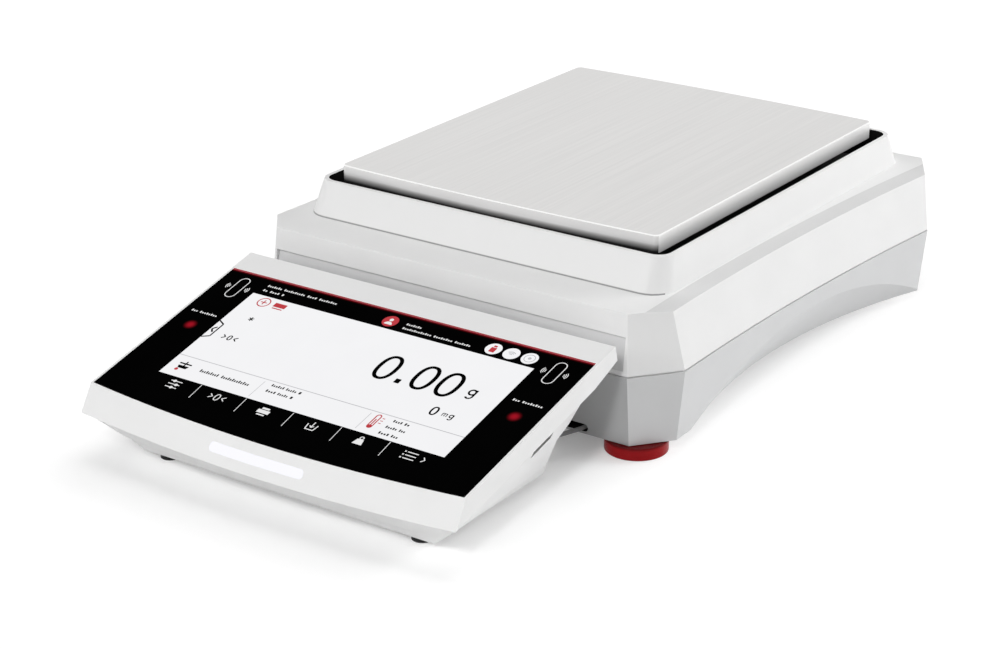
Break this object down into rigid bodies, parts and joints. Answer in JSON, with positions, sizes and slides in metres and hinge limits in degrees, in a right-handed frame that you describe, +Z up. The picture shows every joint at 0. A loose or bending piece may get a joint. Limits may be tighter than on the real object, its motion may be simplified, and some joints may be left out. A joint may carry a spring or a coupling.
{
  "type": "precision balance",
  "caption": "Laboratory precision balance with a large brushed steel pan on a low levelled base, and a separate tilted touch-screen terminal on a short cable.",
  "frame": {"origin": "middle of the footprint of base and terminal together, on the bench", "axes": "+Z up, +Y from the terminal towards the back of the base, +X to the right of a person at the terminal"},
  "size_m": [0.266, 0.4405, 0.098],
  "materials": {
    "cover_white": "satin",
    "tray_grey": "satin",
    "pan_steel": "brushed",
    "plate_steel": "satin",
    "cast_aluminium": "satin",
    "zinc_steel": "satin",
    "brass": "satin",
    "magnet_iron": "matte",
    "black_plastic": "matte",
    "board_green": "satin",
    "black_rubber": "matte",
    "wheel_red": "gloss",
    "trim_red": "gloss",
    "screen_glass": "gloss",
    "lcd": "gloss",
    "light_white": "gloss",
    "sensor_red": "gloss",
    "vial_green": "gloss",
    "cable_grey": "matte"
  },
  "bodies": {
    "base": {"top_cover": "cover_white", "pan_surround": "cover_white", "base_tray": "tray_grey", "chamber_plate": "plate_steel", "guide_plates": "plate_steel", "beam_pivot": "plate_steel", "cell_base": "cast_aluminium", "cell_frame": "cast_aluminium", "base_screws": "zinc_steel", "overload_stop": "zinc_steel", "serial_socket": "zinc_steel", "usb_socket": "zinc_steel", "lan_socket": "zinc_steel", "cal_motor": "zinc_steel", "foot_inserts": "brass", "magnet_cup": "magnet_iron", "magnet_core": "magnet_iron", "position_sensor": "black_plastic", "power_jack": "black_plastic", "rear_panel": "black_plastic", "main_board": "board_green", "io_board": "board_green", "base_gland": "black_rubber", "level_vial": "vial_green", "terminal_cable": "cable_grey"},
    "load_carrier": {"load_carrier": "cast_aluminium", "pan_support": "cast_aluminium", "support_pads": "black_rubber"},
    "pan": {"weighing_pan": "pan_steel"},
    "beam": {"balance_beam": "cast_aluminium", "force_coil": "brass"},
    "cal_screw": {"cal_screw": "brass"},
    "cal_lifter": {"cal_lifter": "black_plastic", "cal_weights": "brass"},
    "hook_cover": {"hook_cover": "black_plastic"},
    "terminal": {"terminal_upper_housing": "cover_white", "terminal_lower_housing": "cover_white", "touch_glass": "screen_glass", "lcd_panel": "lcd", "trim_strip": "trim_red", "light_bar": "light_white", "light_board": "board_green", "ir_sensors": "sensor_red", "terminal_board": "board_green", "side_usb_socket": "zinc_steel", "terminal_feet": "black_rubber", "terminal_screws": "zinc_steel", "terminal_gland": "black_rubber"},
    "foot_fl": {"foot_pad_fl": "black_rubber"},
    "wheel_fl": {"foot_wheel_fl": "wheel_red", "foot_stud_fl": "zinc_steel"},
    "foot_fr": {"foot_pad_fr": "black_rubber"},
    "wheel_fr": {"foot_wheel_fr": "wheel_red", "foot_stud_fr": "zinc_steel"},
    "foot_rl": {"foot_pad_rl": "black_rubber"},
    "wheel_rl": {"foot_wheel_rl": "wheel_red", "foot_stud_rl": "zinc_steel"},
    "foot_rr": {"foot_pad_rr": "black_rubber"},
    "wheel_rr": {"foot_wheel_rr": "wheel_red", "foot_stud_rr": "zinc_steel"}
  },
  "joints": [
    {"name": "load_travel", "type": "slide", "parent": "base", "child": "load_carrier", "axis": [0, 0, 1], "range_m": [-0.0003, 0], "stiffness_N_per_m": 200000, "springref_m": 0.0001},
    {"name": "pan_lift", "type": "slide", "parent": "load_carrier", "child": "pan", "axis": [0, 0, 1], "range_m": [0, 0.06]},
    {"name": "beam_tilt", "type": "hinge", "parent": "base", "child": "beam", "pos_m": [0, 0.10825, 0.0437], "axis": [1, 0, 0], "range_deg": [0, 1.15]},
    {"name": "cal_turn", "type": "hinge", "parent": "base", "child": "cal_screw", "pos_m": [0, 0.00825, 0.05], "axis": [0, 0, 1], "range_deg": [0, 576]},
    {"name": "cal_lift", "type": "slide", "parent": "base", "child": "cal_lifter", "axis": [0, 0, 1], "range_m": [-0.0032, 0]},
    {"name": "hook_turn", "type": "hinge", "parent": "base", "child": "hook_cover", "pos_m": [0.022, 0.08025, 0.006], "axis": [0, 0, 1], "range_deg": [0, 90]},
    {"name": "terminal_slide", "type": "slide", "parent": "base", "child": "terminal", "axis": [0, -1, 0], "range_m": [0, 0.04], "deforming": ["terminal_cable"]},
    {"name": "foot_fl_travel", "type": "slide", "parent": "base", "child": "foot_fl", "axis": [0, 0, -1], "range_m": [0, 0.006]},
    {"name": "foot_fl_turn", "type": "hinge", "parent": "foot_fl", "child": "wheel_fl", "pos_m": [-0.1025, -0.05925, 0.004], "axis": [0, 0, 1], "range_deg": [0, 2160]},
    {"name": "foot_fr_travel", "type": "slide", "parent": "base", "child": "foot_fr", "axis": [0, 0, -1], "range_m": [0, 0.006]},
    {"name": "foot_fr_turn", "type": "hinge", "parent": "foot_fr", "child": "wheel_fr", "pos_m": [0.1025, -0.05925, 0.004], "axis": [0, 0, 1], "range_deg": [0, 2160]},
    {"name": "foot_rl_travel", "type": "slide", "parent": "base", "child": "foot_rl", "axis": [0, 0, -1], "range_m": [0, 0.006]},
    {"name": "foot_rl_turn", "type": "hinge", "parent": "foot_rl", "child": "wheel_rl", "pos_m": [-0.095, 0.19225, 0.004], "axis": [0, 0, 1], "range_deg": [0, 2160]},
    {"name": "foot_rr_travel", "type": "slide", "parent": "base", "child": "foot_rr", "axis": [0, 0, -1], "range_m": [0, 0.006]},
    {"name": "foot_rr_turn", "type": "hinge", "parent": "foot_rr", "child": "wheel_rr", "pos_m": [0.095, 0.19225, 0.004], "axis": [0, 0, 1], "range_deg": [0, 2160]}
  ],
  "couplings": [
    {"joint": "beam_tilt", "follows": "load_travel", "rad_per_m": -66.6},
    {"joint": "cal_turn", "follows": "cal_lift", "rad_per_m": -3141.5},
    {"joint": "foot_fl_turn", "follows": "foot_fl_travel", "rad_per_m": 6283},
    {"joint": "foot_fr_turn", "follows": "foot_fr_travel", "rad_per_m": 6283},
    {"joint": "foot_rl_turn", "follows": "foot_rl_travel", "rad_per_m": 6283},
    {"joint": "foot_rr_turn", "follows": "foot_rr_travel", "rad_per_m": 6283}
  ]
}
